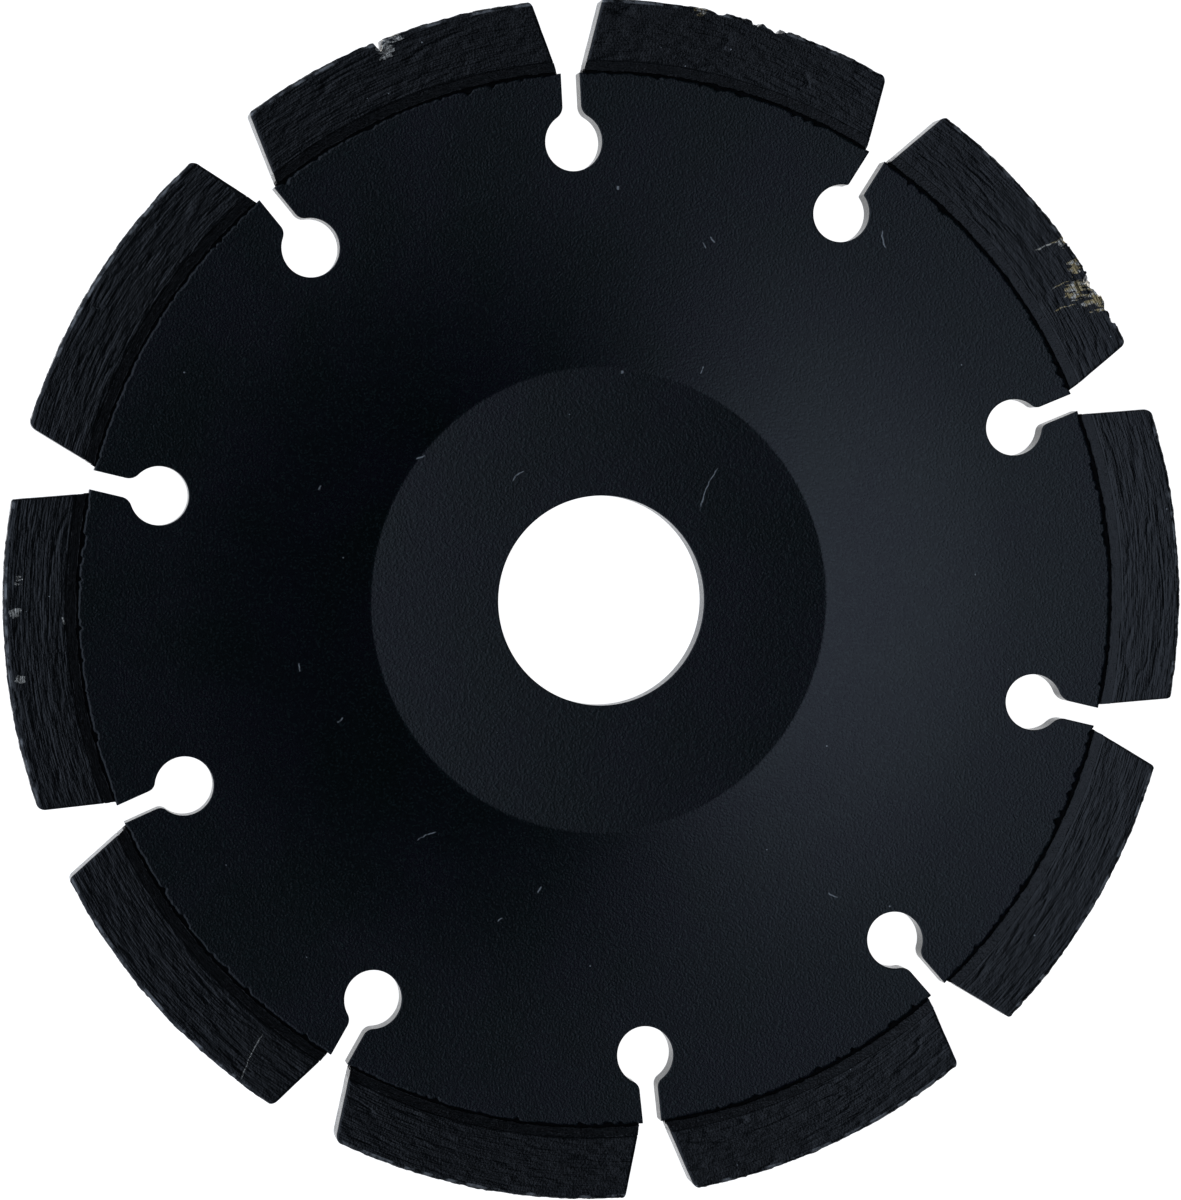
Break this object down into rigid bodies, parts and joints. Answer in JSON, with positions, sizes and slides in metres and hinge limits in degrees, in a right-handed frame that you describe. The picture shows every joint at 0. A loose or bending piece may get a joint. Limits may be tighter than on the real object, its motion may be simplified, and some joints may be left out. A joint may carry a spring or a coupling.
{
  "type": "diamond blade",
  "caption": "Dished segmented diamond cutting disc with a depressed flat hub, round bore and keyhole gullets, for contour cuts.",
  "frame": {"origin": "centre of the hub's flat back face, on the bore axis; the blade stands on this face", "axes": "+Z along the bore axis, out of the hollow side; +X through the middle of segment 01; a gullet on +Y and one on -Y"},
  "size_m": [0.125, 0.1248, 0.0085],
  "materials": {
    "painted_steel": "black semi-gloss paint on pressed steel",
    "diamond_layer": "black paint over sintered metal with diamond grit, ground faces",
    "segment_foot": "black paint over smooth diamond-free sintered metal",
    "weld": "black paint over a fine laser weld"
  },
  "bodies": {
    "root": {"core": "painted_steel", "segment_01": "diamond_layer", "segment_02": "diamond_layer", "segment_03": "diamond_layer", "segment_04": "diamond_layer", "segment_05": "diamond_layer", "segment_06": "diamond_layer", "segment_07": "diamond_layer", "segment_08": "diamond_layer", "segment_09": "diamond_layer", "segment_10": "diamond_layer", "segment_foot_01": "segment_foot", "segment_foot_02": "segment_foot", "segment_foot_03": "segment_foot", "segment_foot_04": "segment_foot", "segment_foot_05": "segment_foot", "segment_foot_06": "segment_foot", "segment_foot_07": "segment_foot", "segment_foot_08": "segment_foot", "segment_foot_09": "segment_foot", "segment_foot_10": "segment_foot", "weld_01": "weld", "weld_02": "weld", "weld_03": "weld", "weld_04": "weld", "weld_05": "weld", "weld_06": "weld", "weld_07": "weld", "weld_08": "weld", "weld_09": "weld", "weld_10": "weld"}
  },
  "joints": []
}
